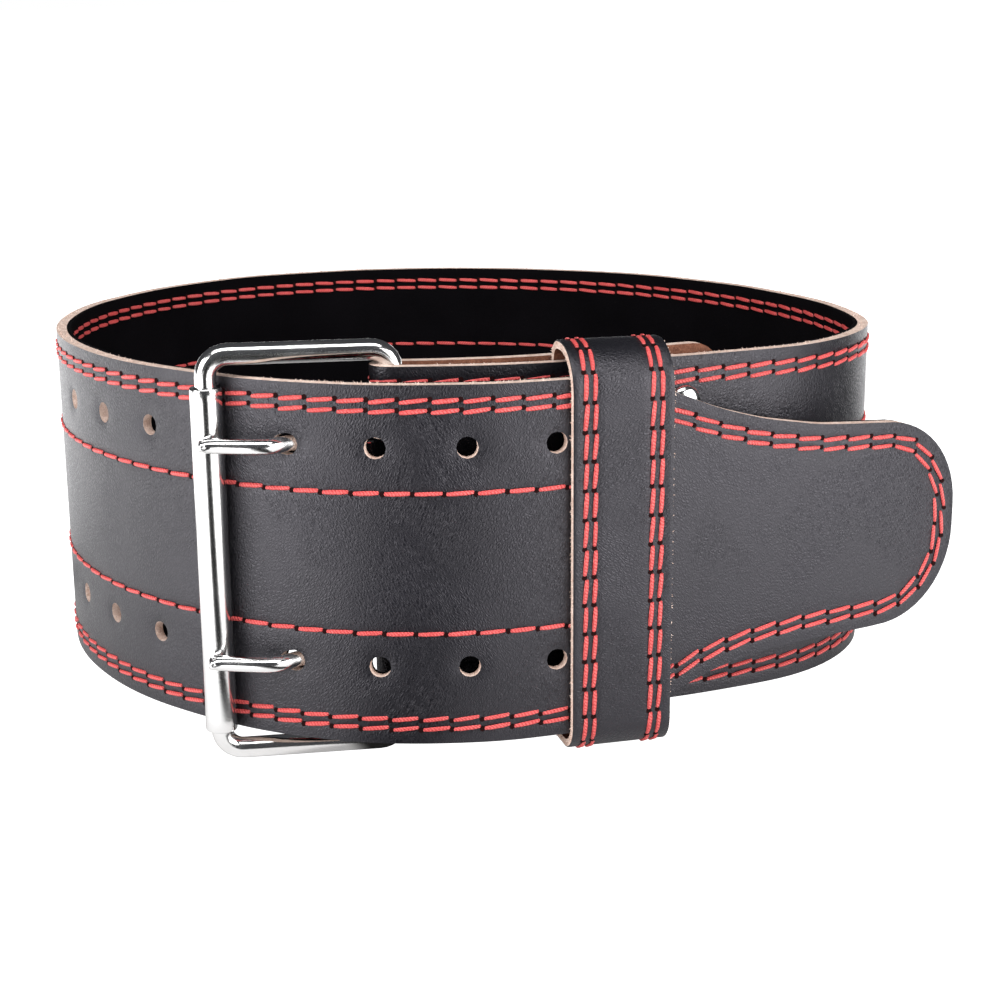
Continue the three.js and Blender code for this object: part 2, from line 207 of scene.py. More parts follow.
def outline(start, corner):
    """Outline of a flat cut from start to the tongue's tip, with round corners at its start."""
    straight = stations(start + corner)
    taper_steps = 34
    narrowing = [TONGUE_START + (TONGUE_RUN - TIP_RADIUS) * i / taper_steps
                 for i in range(1, taper_steps)]
    low = [(u, 0) for u in straight] + [(u, MIDDLE - MIDDLE * taper(u, 2)) for u in narrowing]
    high = [(u, STRAP_WIDTH) for u in straight]
    high += [(u, MIDDLE + MIDDLE * taper(u, 1)) for u in narrowing]
    quarter = [math.pi / 2 * i / 14 for i in range(15)]
    tip = [(TIP_CENTRE + TIP_RADIUS * math.sin(a), -TIP_FLAT - TIP_RADIUS * math.cos(a)) for a in quarter]
    tip = [(u, MIDDLE + v) for u, v in tip] + [(u, MIDDLE - v) for u, v in reversed(tip)]
    arc = [math.pi / 2 * i / 6 for i in range(7)]
    end = [(start + corner - corner * math.sin(a), STRAP_WIDTH - corner + corner * math.cos(a))
           for a in arc]
    rungs = [STRAP_WIDTH - corner - (STRAP_WIDTH - 2 * corner) * i / 20 for i in range(1, 20)]
    end += [(start, v) for v in rungs]
    end += [(start + corner - corner * math.cos(a), corner - corner * math.sin(a)) for a in arc]
    return low + tip + high[::-1] + end[1:-1]


def edge_distance(u, v):
    """How far a point of the flat strap lies in from its edge."""
    if u > TIP_CENTRE:
        side = abs(v - MIDDLE) - TIP_FLAT
        return LOOP_RUN - u if side <= 0 else TIP_RADIUS - math.hypot(u - TIP_CENTRE, side)
    low, high = 0, STRAP_WIDTH
    if u > TONGUE_START:
        low, high = MIDDLE - MIDDLE * taper(u, 2), MIDDLE + MIDDLE * taper(u, 1)
    return min(v - low, high - v)


EDGE_ROWS = (4.3, 7.1)
SINGLE_ROWS = (31.6, 70.7)
SINGLE_ROWS_END = TONGUE_START + 8
RING_STEPS = (1.9, 1.5, 0.9, 0.9, 1.0, 0.9, 0.9)
CROSS_LINES = (12, 15.5, 17.5, 19, 20.5, 22, 23.5, 25, 26.5, 28.8, 30.8, 31.6, 32.4, 34.4, 38, 42, 46, 50,
               54, 58, 62, 65.5, 67.8, 69.9, 70.7, 71.5, 73.5, 76, 78.5, 80, 81.5, 83, 84.5, 86, 87.5, 90)


def flat_cut(start, corner, top):
    """A flat sheet cut to the strap's outline: u along x, v along y, its upper face at top."""
    cut = bmesh.new()
    verts = [cut.verts.new((u, v, top)) for u, v in outline(start, corner)]
    inner = cut.faces.new(verts)
    for step in RING_STEPS:
        bmesh.ops.inset_region(cut, faces=[inner], thickness=step, use_even_offset=True, use_boundary=True)
    field = [inner]
    lines = [((0, v, 0), (0, 1, 0)) for v in CROSS_LINES]
    lines += [((u, 0, 0), (1, 0, 0)) for u in stations(start + corner)[1:]]
    lines += [((u, 0, 0), (1, 0, 0)) for u in range(TONGUE_START + 4, LOOP_RUN - 10, 4)]
    for place, way in lines:
        around = set(field)
        for face in field:
            around.update(face.edges)
            around.update(face.verts)
        result = bmesh.ops.bisect_plane(cut, geom=list(around), dist=0.02, plane_co=place,
                                        plane_no=way)
        field = [item for item in result["geom"] if isinstance(item, bmesh.types.BMFace)]
    return cut


def punch(cut, columns):
    """Cuts the round holes: the four-by-four block of faces at each centre goes, and its rim is drawn
    to a circle. The prongs' column is a little longer towards the buckle."""
    blocks = [(c, row) for c in columns for row in HOLE_ROWS]
    doomed = set()
    for face in cut.faces:
        middle = face.calc_center_median()
        if any(abs(middle.x - c) < 3 and abs(middle.y - row) < 3 for c, row in blocks):
            doomed.add(face)
    bmesh.ops.delete(cut, geom=list(doomed), context="FACES")
    for vert in cut.verts:
        for c, row in blocks:
            du, dv = vert.co.x - c, vert.co.y - row
            if max(abs(du), abs(dv)) < 3.05 and vert.is_boundary:
                scale = HOLE_RADIUS / math.hypot(du, dv)
                stretch = 1.5 if abs(c - PRONG_HOLE) < 1 and du < 0 else 1
                vert.co.x = c + du * scale * stretch
                vert.co.y = row + dv * scale


def cut_slots(cut):
    """Cuts the two slots in the fold that let the prongs swing."""
    low, high = -FOLD_RUN - SLOT_REACH, SLOT_REACH
    doomed = []
    for face in cut.faces:
        middle = face.calc_center_median()
        if low < middle.x < high and any(abs(middle.y - row) < 3 for row in HOLE_ROWS):
            doomed.append(face)
    bmesh.ops.delete(cut, geom=doomed, context="FACES")


def thicken(cut, thickness, round_edge):
    """Gives the flat cut its thickness and rounds the edge of its upper face."""
    made = bmesh.ops.extrude_face_region(cut, geom=cut.faces[:])["geom"]
    under = [item for item in made if isinstance(item, bmesh.types.BMVert)]
    bmesh.ops.translate(cut, verts=under, vec=(0, 0, -thickness))
    bmesh.ops.recalc_face_normals(cut, faces=cut.faces[:])
    rim = [e for e in cut.edges if len(e.link_faces) == 2 and e.calc_face_angle(0) > 1
           and min(v.co.z for v in e.verts) > -0.01 - thickness / 2]
    bmesh.ops.bevel(cut, geom=rim, offset=round_edge, segments=2, profile=0.5, affect="EDGES",
                    material=-1, clamp_overlap=True)
    many = [f for f in cut.faces if len(f.verts) > 4]
    bmesh.ops.triangulate(cut, faces=many)


def map_flat(mesh_cut):
    """Keeps the flat cut's own coordinates, in metres, as the UV map that the materials read."""
    flat = mesh_cut.loops.layers.uv.new("flat")
    for face in mesh_cut.faces:
        for loop in face.loops:
            loop[flat].uv = (loop.vert.co.x * 0.001, loop.vert.co.y * 0.001)


def make_piece(name, shape, materials, body, replaced=()):
    """Turns a finished mesh into a piece of the belt, smooth except where it has sharp edges."""
    for face in shape.faces:
        face.smooth = True
    for edge in shape.edges:
        if len(edge.link_faces) == 2 and edge.calc_face_angle(0) > 0.7:
            edge.smooth = False
    mesh = bpy.data.meshes.new(name)
    shape.to_mesh(mesh)
    shape.free()
    piece = bpy.data.objects.new(name, mesh)
    bpy.context.scene.collection.objects.link(piece)
    for material in materials:
        mesh.materials.append(material)
    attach(piece, body)
    if replaced:
        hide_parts(*replaced)
    return piece


THREAD_PULL = 0.28


def pull(away):
    """How much of a row's pull on the grain is left at a distance from it."""
    return math.exp(-(away / 0.8) ** 2)


def stitch_dip(u, v):
    """How deep the thread pulls the grain down beside a row of stitches."""
    inset = edge_distance(u, v)
    dip = sum(pull(inset - row) for row in EDGE_ROWS)
    if u < SINGLE_ROWS_END:
        dip += sum(pull(v - row) for row in SINGLE_ROWS)
    return THREAD_PULL * dip


def hole_away(u, v):
    """Distance from the rim of the nearest hole."""
    column = min(hole_runs, key=lambda c: abs(c - u))
    row = min(HOLE_ROWS, key=lambda r: abs(r - v))
    return math.hypot(u - column, v - row) - HOLE_RADIUS


def hole_dip(u, v):
    """How far the punch drags the grain down at the rim of a hole."""
    return 0.45 * math.exp(-max(0, hole_away(u, v)) / 0.9)


def wander(u, v):
    """How far the strap strays up or down from its line."""
    return 0.25 * noise.noise(Vector((u * 0.03, v * 0.002, 4.0)))


def add_node(tree, kind, inputs=None, **settings):
    node = tree.nodes.new(kind)
    for key, value in settings.items():
        setattr(node, key, value)
    for key, value in (inputs or {}).items():
        if isinstance(value, bpy.types.NodeSocket):
            tree.links.new(value, node.inputs[key])
        else:
            node.inputs[key].default_value = value
    return node


def new_material(name):
    material = bpy.data.materials.new(name)
    material.use_nodes = True
    material.node_tree.nodes.clear()
    shader = add_node(material.node_tree, "ShaderNodeBsdfPrincipled")
    add_node(material.node_tree, "ShaderNodeOutputMaterial", {"Surface": shader.outputs[0]})
    return material, material.node_tree, shader


def new_group(name, inputs, outputs):
    group = bpy.data.node_groups.new(name, "ShaderNodeTree")
    for way, sockets in (("INPUT", inputs), ("OUTPUT", outputs)):
        for socket, kind in sockets:
            group.interface.new_socket(socket, in_out=way, socket_type=kind)
    return group, group.nodes.new("NodeGroupInput").outputs, group.nodes.new("NodeGroupOutput").inputs


def add_noise(tree, place, scale, detail, roughness=0.5):
    return add_node(tree, "ShaderNodeTexNoise", {"Vector": place, "Scale": scale, "Detail": detail,
                                                 "Roughness": roughness})


def add_math(tree, operation, *values):
    return add_node(tree, "ShaderNodeMath", dict(enumerate(values)), operation=operation).outputs[0]


def ranged(tree, value, low, high, to_low=0.0, to_high=1.0, **settings):
    """A value that runs from low to high, spread from to_low to to_high."""
    return add_node(tree, "ShaderNodeMapRange", {"Value": value, "From Min": low, "From Max": high,
                                                 "To Min": to_low, "To Max": to_high},
                    **settings).outputs[0]


def mixed_tone(tree, factor, first, second):
    """A colour that goes from first to second."""
    return add_node(tree, "ShaderNodeMix", {0: factor, 6: first, 7: second}, data_type="RGBA").outputs[2]


def add_bump(tree, shader, height, strength, distance):
    bump = add_node(tree, "ShaderNodeBump", {"Strength": strength, "Distance": distance,
                                             "Height": height})
    tree.links.new(bump.outputs[0], shader.inputs["Normal"])


def pebble_group():
    """Full-grain leather: small pebbles drawn out along two crossing diagonals, with creases."""
    group, given, put = new_group(
        "pebbled grain", (("Vector", "NodeSocketVector"),),
        (("Height", "NodeSocketFloat"), ("Crease", "NodeSocketFloat"), ("Mottle", "NodeSocketFloat")))
    wide = add_noise(group, given["Vector"], 26.0, 2.0)
    ways = []
    for degrees in (-30, 32):
        turned = add_node(group, "ShaderNodeMapping", {"Vector": given["Vector"], "Scale": (1.0, 1.9, 1.0),
                                                       "Rotation": (0, 0, math.radians(degrees))},
                          vector_type="TEXTURE")
        bend = add_noise(group, turned.outputs[0], 420.0, 2.0)
        away = add_node(group, "ShaderNodeVectorMath", {0: bend.outputs["Color"], 1: (0.5, 0.5, 0.5)},
                        operation="SUBTRACT")
        moved = add_node(group, "ShaderNodeVectorMath", {0: away.outputs[0], 1: (0.0012, 0.0012, 0.0012),
                                                         2: turned.outputs[0]}, operation="MULTIPLY_ADD")
        cells = add_node(group, "ShaderNodeTexVoronoi", {"Vector": moved.outputs[0], "Scale": 1450.0,
                                                         "Randomness": 1.0}, feature="DISTANCE_TO_EDGE")
        ways.append(ranged(group, cells.outputs["Distance"], 0.0, 0.3, interpolation_type="SMOOTHSTEP"))
    choice = ranged(group, wide.outputs[0], 0.44, 0.56)
    pebble = add_node(group, "ShaderNodeMix", {0: choice, 2: ways[0], 3: ways[1]}).outputs[0]
    fine = add_noise(group, given["Vector"], 2600.0, 3.0, 0.6)
    group.links.new(add_math(group, "MULTIPLY_ADD", fine.outputs[0], 0.5, pebble), put["Height"])
    group.links.new(add_math(group, "SUBTRACT", 1.0, pebble), put["Crease"])
    group.links.new(wide.outputs[0], put["Mottle"])
    return group


pebbled_grain = pebble_group()


def black_grain():
    material, tree, shader = new_material("black grain leather")
    flat = add_node(tree, "ShaderNodeUVMap", uv_map="flat")
    grain = add_node(tree, "ShaderNodeGroup", node_tree=pebbled_grain)
    tree.links.new(flat.outputs[0], grain.inputs["Vector"])
    tone = mixed_tone(tree, grain.outputs["Mottle"], (0.0025, 0.0025, 0.0035, 1),
                      (0.006, 0.006, 0.009, 1))
    tree.links.new(tone, shader.inputs["Base Color"])
    rough = ranged(tree, grain.outputs["Crease"], 0.0, 1.0, 0.31, 0.46)
    tree.links.new(rough, shader.inputs["Roughness"])
    shader.inputs["Specular IOR Level"].default_value = 0.55
    shader.inputs["Specular Tint"].default_value = (0.96, 0.92, 1.0, 1)
    add_bump(tree, shader, grain.outputs["Height"], 1.0, 0.00006)
    return material


def raw_leather(name, pale, dark):
    material, tree, shader = new_material(name)
    place = add_node(tree, "ShaderNodeTexCoord").outputs["Object"]
    coarse = add_noise(tree, place, 420.0, 5.0, 0.6)
    fine = add_noise(tree, place, 2400.0, 3.0)
    both = add_math(tree, "ADD", coarse.outputs[0], fine.outputs[0])
    mask = ranged(tree, both, 0.75, 1.25)
    tree.links.new(mixed_tone(tree, mask, dark, pale), shader.inputs["Base Color"])
    shader.inputs["Roughness"].default_value = 0.85
    shader.inputs["Specular IOR Level"].default_value = 0.2
    add_bump(tree, shader, both, 0.7, 0.0003)
    return material


grain_leather = black_grain()
cut_edge = raw_leather("raw cut edge", (0.82, 0.67, 0.59, 1), (0.50, 0.34, 0.27, 1))
flesh_side = raw_leather("leather flesh side", (0.26, 0.11, 0.065, 1), (0.12, 0.045, 0.028, 1))

strap = flat_cut(STRAP_START, FLAP_CORNER, 0)
punch(strap, hole_runs)
cut_slots(strap)
thicken(strap, LEATHER, 0.45)
map_flat(strap)
for face in strap.faces:
    middle = face.calc_center_median()
    rim = middle.z < -0.02 and hole_away(middle.x, middle.y) < 0.6
    face.material_index = 1 if rim else 0 if middle.z > -0.5 else 2 if middle.z < 0.05 - LEATHER else 1
for vert in strap.verts:
    u, v, z = vert.co
    dip = (stitch_dip(u, v) + hole_dip(u, v)) if z > -1 else 0
    vert.co = stand @ worn(u, v + wander(u, v), -z + dip)
make_piece("leather_strap", strap, (grain_leather, cut_edge, flesh_side), "belt",
           ("belt_strap",))


# The lining is thin black suede sewn to the strap's inner face, from past the folded end to the
# tongue's tip, punched with the same holes. Its nap faces the wearer.
SUEDE = 1.0
LINING_START = FLAP_RUN + 2.5
STRAP_ALL = LEATHER + GAP + SUEDE


def suede_nap():
    material, tree, shader = new_material("black suede")
    place = add_node(tree, "ShaderNodeTexCoord").outputs["Object"]
    nap = add_noise(tree, place, 1900.0, 5.0, 0.7)
    brushed = add_noise(tree, place, 45.0, 3.0)
    tone = mixed_tone(tree, brushed.outputs[0], (0.0012, 0.0010, 0.0013, 1), (0.004, 0.0035, 0.0045, 1))
    tree.links.new(tone, shader.inputs["Base Color"])
    shader.inputs["Roughness"].default_value = 1
    shader.inputs["Specular IOR Level"].default_value = 0.04
    add_bump(tree, shader, nap.outputs[0], 0.8, 0.0003)
    return material


suede = suede_nap()
lining = flat_cut(LINING_START, FLAP_CORNER, -LEATHER - 0.02)
punch(lining, hole_runs)
made = bmesh.ops.extrude_face_region(lining, geom=lining.faces[:])["geom"]
bmesh.ops.translate(lining, verts=[item for item in made if isinstance(item, bmesh.types.BMVert)],
                    vec=(0, 0, -SUEDE - GAP))
bmesh.ops.recalc_face_normals(lining, faces=lining.faces[:])
bmesh.ops.triangulate(lining, faces=[f for f in lining.faces if len(f.verts) > 4])
map_flat(lining)
for vert in lining.verts:
    u, v, z = vert.co
    dip = stitch_dip(u, v) if z < -LEATHER - 0.5 else 0
    vert.co = stand @ worn(u, v + wander(u, v), -z - dip)
make_piece("suede_liner", lining, (suede,), "belt", ("suede_lining",))


# The stitching is thick waxed red thread, sewn by machine through leather and lining: two rows
# along every edge and one row beside each line of holes. The same rows show on the lining.
STITCH_PITCH = 8.4
STITCH_LENGTH = 8.1
THREAD = 1.25


def parallel_line(start, corner, inset):
    """The line that runs round the cut at a constant distance in from its edge."""
    edge = [Vector(p) for p in outline(start, corner)]
    line = []
    for before, here, after in zip(edge[-1:] + edge[:-1], edge, edge[1:] + edge[:1]):
        way = (after - before).normalized()
        line.append(here + Vector((-way.y, way.x)) * inset)
    return line + line[:1]


def along(line, pitch):
    """Middle and direction of each stitch on a line, at an even pitch."""
    marks = [0.0]
    for a, b in zip(line, line[1:]):
        marks.append(marks[-1] + (b - a).length)
    count = round(marks[-1] / pitch)
    for i in range(count):
        at = (i + 0.5) * marks[-1] / count
        k = min(bisect.bisect_right(marks, at), len(line) - 1)
        a, b = line[k - 1], line[k]
        yield a.lerp(b, (at - marks[k - 1]) / (marks[k] - marks[k - 1])), (b - a).normalized()


def one_stitch():
    """One stitch along x, a fat thread whose ends go down into the leather, and a flat dark disc at one end
    as painted shade for its needle hole.
    """
    stitch = bmesh.new()
    bmesh.ops.create_cone(stitch, cap_ends=True, segments=6, radius1=0.5, radius2=0.5, depth=1,
                          matrix=Matrix.Rotation(math.pi / 2, 4, "Y"))
    long_edges = [e for e in stitch.edges if abs(e.verts[0].co.x - e.verts[1].co.x) > 0.5]
    bmesh.ops.subdivide_edges(stitch, edges=long_edges, cuts=4, use_grid_fill=False)
    twist = stitch.loops.layers.uv.new("flat")
    for vert in stitch.verts:
        vert.co.x = math.copysign((0, 0.22, 0.43, 0.5)[round(abs(vert.co.x) * 5 + 0.5)], vert.co.x)
    for face in stitch.faces:
        for loop in face.loops:
            x, y, z = loop.vert.co
            turn = math.atan2(z, y) / math.tau
            loop[twist].uv = (x * STITCH_LENGTH * 0.001, turn * 0.003)
    for vert in stitch.verts:
        end = abs(vert.co.x) * 2
        slim = 0.3 if end > 0.99 else 0.8 if end > 0.8 else 1
        vert.co.y *= slim
        vert.co.z = vert.co.z * slim * 0.8 + (0.24 if end < 0.5 else 0.12 if end < 0.9 else -0.35)
    # Painted shade: the needle hole is not cut; a thin near-black disc lies on the grain at the stitch's
    # end in its place.
    shade_disc_place = (Matrix.Translation((-0.515, 0, 0.14))
                 @ Matrix.Diagonal((0.8 / STITCH_LENGTH, 0.62, 0.06, 1)))
    shade_disc = bmesh.ops.create_cone(stitch, cap_ends=True, segments=8, radius1=1, radius2=1, depth=1,
                                matrix=shade_disc_place)
    for face in {face for vert in shade_disc["verts"] for face in vert.link_faces}:
        face.material_index = 1
    mesh = bpy.data.meshes.new("one stitch")
    stitch.to_mesh(mesh)
    stitch.free()
    return mesh


def sew(rows, to_place, seed):
    """Sews rows of stitches. Each row is a line, a slant and a pitch; to_place puts a point of the
    flat work, with its height over the face, on the worn belt."""
    rng = random.Random(seed)
    base = one_stitch()
    sewn = bmesh.new()
    for line, slant, pitch in rows:
        for middle, way in along(line, pitch):
            done = len(sewn.verts)
            sewn.from_mesh(base)
            sewn.verts.ensure_lookup_table()
            side = Vector((-way.y, way.x))
            length = STITCH_LENGTH * pitch / STITCH_PITCH * rng.uniform(0.95, 1.03)
            tilt = slant + rng.uniform(-0.1, 0.1)
            fat = THREAD * rng.uniform(0.94, 1.06)
            for vert in sewn.verts[done:]:
                x, y, z = vert.co
                flat = middle + way * (x * length) + side * (y * fat + x * 2 * tilt)
                vert.co = to_place(flat.x, flat.y, z * fat)
    bmesh.ops.recalc_face_normals(sewn, faces=sewn.faces[:])
    return sewn


def red_thread():
    material, tree, shader = new_material("red waxed thread")
    flat = add_node(tree, "ShaderNodeUVMap", uv_map="flat")
    turned = add_node(tree, "ShaderNodeMapping", {"Vector": flat.outputs[0],
                                                  "Rotation": (0, 0, math.radians(38))})
    ply = add_node(tree, "ShaderNodeTexWave", {"Vector": turned.outputs[0], "Scale": 420.0,
                                               "Distortion": 1.5, "Detail": 2.0})
    place = add_node(tree, "ShaderNodeTexCoord").outputs["Object"]
    patch = add_noise(tree, place, 300.0, 3.0)
    blend = add_math(tree, "MULTIPLY", ply.outputs["Fac"], patch.outputs[0])
    tone = mixed_tone(tree, blend, (0.50, 0.045, 0.045, 1), (0.88, 0.16, 0.15, 1))
    # Painted shade: the thread turns near-black towards both ends of each stitch, where it goes down into
    # the leather.
    run = add_node(tree, "ShaderNodeSeparateXYZ", {0: flat.outputs[0]})
    painted_end_shade = ranged(tree, add_math(tree, "ABSOLUTE", run.outputs[0]), 0.0035, 0.0039)
    tree.links.new(mixed_tone(tree, painted_end_shade, tone, (0.02, 0.0, 0.0, 1)), shader.inputs["Base Color"])
    shader.inputs["Roughness"].default_value = 0.5
    add_bump(tree, shader, ply.outputs["Fac"], 0.6, 0.0002)
    return material


# Painted shade: the near-black, dull colour of the discs that stand in for the shade in the needle holes.
def painted_needle_hole_shade():
    material, _, shader = new_material("needle hole")
    shader.inputs["Base Color"].default_value = (0.012, 0.002, 0.002, 1)
    shader.inputs["Roughness"].default_value = 0.9
    shader.inputs["Specular IOR Level"].default_value = 0.1
    return material


thread = red_thread()
painted_hole_shade = painted_needle_hole_shade()


def single_row(v, start):
    return [Vector((start + (SINGLE_ROWS_END - start) * i / 400, v)) for i in range(401)]


grain_rows = [(parallel_line(STRAP_START, FLAP_CORNER, row), 0.4, STITCH_PITCH) for row in EDGE_ROWS]
grain_rows += [(single_row(v, 14), 0.2, STITCH_PITCH) for v in SINGLE_ROWS]
outer = sew(grain_rows, lambda u, v, up: stand @ worn(u, v, 0.2 - up), 11)
make_piece("stitching_outside", outer, (thread, painted_hole_shade), "belt")

lining_rows = [(parallel_line(LINING_START, FLAP_CORNER, row), 0.2, STITCH_PITCH) for row in EDGE_ROWS]
lining_rows += [(single_row(v, LINING_START + 4), 0.1, STITCH_PITCH) for v in SINGLE_ROWS]
inner = sew(lining_rows, lambda u, v, up: stand @ worn(u, v, STRAP_ALL - 0.2 + up), 12)
make_piece("stitching_inside", inner, (thread, painted_hole_shade), "belt")


# The keeper is a band of the same hide sewn into a ring. It holds the tongue to the strap's
# folded front layer, and its cut edges are left raw.
KEEPER_DROP = 3.1
KEEPER_HEAD = 3.9
KEEPER_ROWS = (3.5, 6.1)
KEEPER_PITCH = 8.1
seat_point, seat_out = loop_face(KEEPER_AT)
seat_way = Vector((-seat_out.y, seat_out.x))
front = 0
for s in range(int(PRONG_HOLE), LOOP_RUN):
    offset = loop_face(s)[0] - seat_point
    if abs(offset.dot(seat_way)) <= KEEPER_WIDTH / 2:
        front = max(front, offset.dot(seat_out))
front += 2 * GAP + KEEPER_LEATHER
back = -LEATHER - GAP - bow(KEEPER_AT, KEEPER_WIDTH) - KEEPER_LEATHER
low = -KEEPER_DROP - KEEPER_LEATHER
high = STRAP_WIDTH + rise(KEEPER_AT) + KEEPER_HEAD + KEEPER_LEATHER


def ring_course():
    """The keeper's outer face in section, as corners with their radii: (out, up, radius)."""
    corners = ((front, low, 8.5), (front, high, 13), (back, high, 6), (back, low, 5))
    course = []
    for i, (out, up, radius) in enumerate(corners):
        before, after = corners[i - 1], corners[(i + 1) % 4]
        here = Vector((out, up))
        to_before = (Vector(before[:2]) - here).normalized()
        to_after = (Vector(after[:2]) - here).normalized()
        centre = here + (to_before + to_after) * radius
        for k in range(13):
            turn = math.pi / 2 * k / 12
            arm = -to_after * math.cos(turn) - to_before * math.sin(turn)
            course.append((centre + arm * radius, arm))
    return course


ring = ring_course()
ring_marks = [0.0]
for (a, _), (b, _) in zip(ring, ring[1:] + ring[:1]):
    ring_marks.append(ring_marks[-1] + (b - a).length)
KEEPER_RUN = ring_marks[-1]


def worn_keeper(w, across, depth):
    """Where a point of the flat keeper goes: w round the ring, across its width, depth under its face."""
    w %= KEEPER_RUN
    i = min(bisect.bisect_right(ring_marks, w) - 1, len(ring) - 1)
    part = (w - ring_marks[i]) / max(1e-9, ring_marks[i + 1] - ring_marks[i])
    (a, arm_a), (b, arm_b) = ring[i], ring[(i + 1) % len(ring)]
    arm = arm_a.lerp(arm_b, part).normalized()
    point = a.lerp(b, part) - arm * depth
    plan = seat_point + seat_out * point.x + seat_way * (across - KEEPER_WIDTH / 2)
    return Vector((plan.x, plan.y, point.y))


band = bmesh.new()
bmesh.ops.create_grid(band, x_segments=180, y_segments=1, size=0.5)
for vert in band.verts:
    vert.co.x = (vert.co.x + 0.5) * KEEPER_RUN
    vert.co.y = (vert.co.y + 0.5) * KEEPER_WIDTH
half_lines = (1.2, 2.4, 3.5, 4.6, 6.1, 7.3, 9, 11, 13)
for line in half_lines + tuple(KEEPER_WIDTH - line for line in reversed(half_lines)):
    bmesh.ops.bisect_plane(band, geom=band.faces[:] + band.edges[:] + band.verts[:], dist=0.01,
                           plane_co=(0, line, 0), plane_no=(0, 1, 0))
thicken(band, KEEPER_LEATHER, 0.4)
ends = [f for f in band.faces if abs(f.normal.x) > 0.9]
bmesh.ops.delete(band, geom=ends, context="FACES")
map_flat(band)
for face in band.faces:
    depth = -face.calc_center_median().z
    face.material_index = 0 if depth < 0.45 else 2 if depth > KEEPER_LEATHER - 0.05 else 1
for vert in band.verts:
    w, across, z = vert.co
    inset = min(across, KEEPER_WIDTH - across)
    dip = sum(pull(inset - row) for row in KEEPER_ROWS) * THREAD_PULL if z > -1 else 0
    vert.co = stand @ worn_keeper(w, across, -z + dip)
bmesh.ops.remove_doubles(band, verts=band.verts[:], dist=2e-5)
bmesh.ops.recalc_face_normals(band, faces=band.faces[:])
make_piece("keeper", band, (grain_leather, cut_edge, flesh_side), "belt", ("keeper_loop",))

keeper_rows = []
for row in KEEPER_ROWS:
    for across in (row, KEEPER_WIDTH - row):
        line = [Vector((KEEPER_RUN * i / 200, across)) for i in range(201)]
        keeper_rows.append((line, 0.3, KEEPER_PITCH))
ring_sewn = sew(keeper_rows, lambda w, across, up: stand @ worn_keeper(w, across, 0.2 - up), 13)
make_piece("stitching_keeper", ring_sewn, (thread, painted_hole_shade), "belt")


# Short pale fibres of raw leather stand out of the cut edges of the strap and the keeper. Each is
# a thin cone, set on the edge at a seeded random place and leaning a little. Sizes are metres.
FIBRE_THICK = 0.00018
FIBRE_LENGTH = 0.0009
FIBRES_EACH = 1100


def one_fibre():
    fibre = bmesh.new()
    bmesh.ops.create_cone(fibre, cap_ends=True, segments=3, radius1=1, radius2=0.2, depth=1,
                          matrix=Matrix.Translation((0, 0, 0.5)))
    mesh = bpy.data.meshes.new("one fibre")
    fibre.to_mesh(mesh)
    fibre.free()
    return mesh


def grow_fibres(roots):
    """Sets a fibre at each root, pointing from it to its second point."""
    rng = random.Random(21)
    base = one_fibre()
    grown = bmesh.new()
    for root, toward in roots:
        done = len(grown.verts)
        grown.from_mesh(base)
        grown.verts.ensure_lookup_table()
        turn = (toward - root).to_track_quat("Z", "Y").to_matrix()
        thick = FIBRE_THICK * rng.uniform(0.7, 1.5)
        length = FIBRE_LENGTH * rng.uniform(0.3, 1.0)
        for vert in grown.verts[done:]:
            x, y, z = vert.co
            vert.co = root + turn @ Vector((x * thick, y * thick, (z - 0.3) * length))
    return grown


def keeper_roots(rng, count):
    for _ in range(count):
        w, depth, side = rng.uniform(0, KEEPER_RUN), rng.uniform(0.5, 2.3), rng.choice((0, 1))
        lean = (rng.uniform(-1, 1), rng.uniform(-0.6, 0.6))
        root = worn_keeper(w, side * KEEPER_WIDTH, depth)
        yield stand @ root, stand @ worn_keeper(w + lean[0], side * (KEEPER_WIDTH + 2) - 1, depth + lean[1])


def strap_roots(rng, count):
    for _ in range(count):
        u, depth = rng.uniform(10, TONGUE_START), rng.uniform(0.6, 3.0)
        lean = (rng.uniform(-1, 1), rng.uniform(-0.6, 0.6))
        root = worn(u, STRAP_WIDTH, depth)
        yield stand @ root, stand @ worn(u + lean[0], STRAP_WIDTH + 1, depth + lean[1])


fibre_rng = random.Random(22)
roots = list(keeper_roots(fibre_rng, FIBRES_EACH)) + list(strap_roots(fibre_rng, FIBRES_EACH))
fibres = grow_fibres(roots)
make_piece("edge_fibres", fibres, (cut_edge,), "belt")


# The buckle frame is a 6 mm steel rod bent to a rectangle and nickel plated. Its ends meet inside
# the roller, and its far side is the bar that the strap folds round.
def nickel_plate():
    material, tree, shader = new_material("bright nickel plate")
    place = add_node(tree, "ShaderNodeTexCoord").outputs["Object"]
    haze = add_noise(tree, place, 90.0, 4.0)
    scratch = add_noise(tree, place, 1500.0, 2.0)
    tree.links.new(ranged(tree, haze.outputs[0], 0.3, 0.7, 0.10, 0.2), shader.inputs["Roughness"])
    tone = mixed_tone(tree, haze.outputs[0], (0.66, 0.65, 0.64, 1), (0.78, 0.78, 0.78, 1))
    tree.links.new(tone, shader.inputs["Base Color"])
    shader.inputs["Metallic"].default_value = 1
    add_bump(tree, shader, scratch.outputs[0], 0.08, 0.0002)
    return material


nickel = nickel_plate()
buckle_way = (roller_plan - pivot).normalized()
buckle_front = Vector((-buckle_way.y, buckle_way.x))
buckle_middle = (roller_plan + pivot) / 2


def on_buckle(across, out, up):
    """A point of the buckle: across from its middle towards the roller, out from its plane, and up."""
    plan = buckle_middle + buckle_way * across + buckle_front * out
    return Vector((plan.x, plan.y, up))


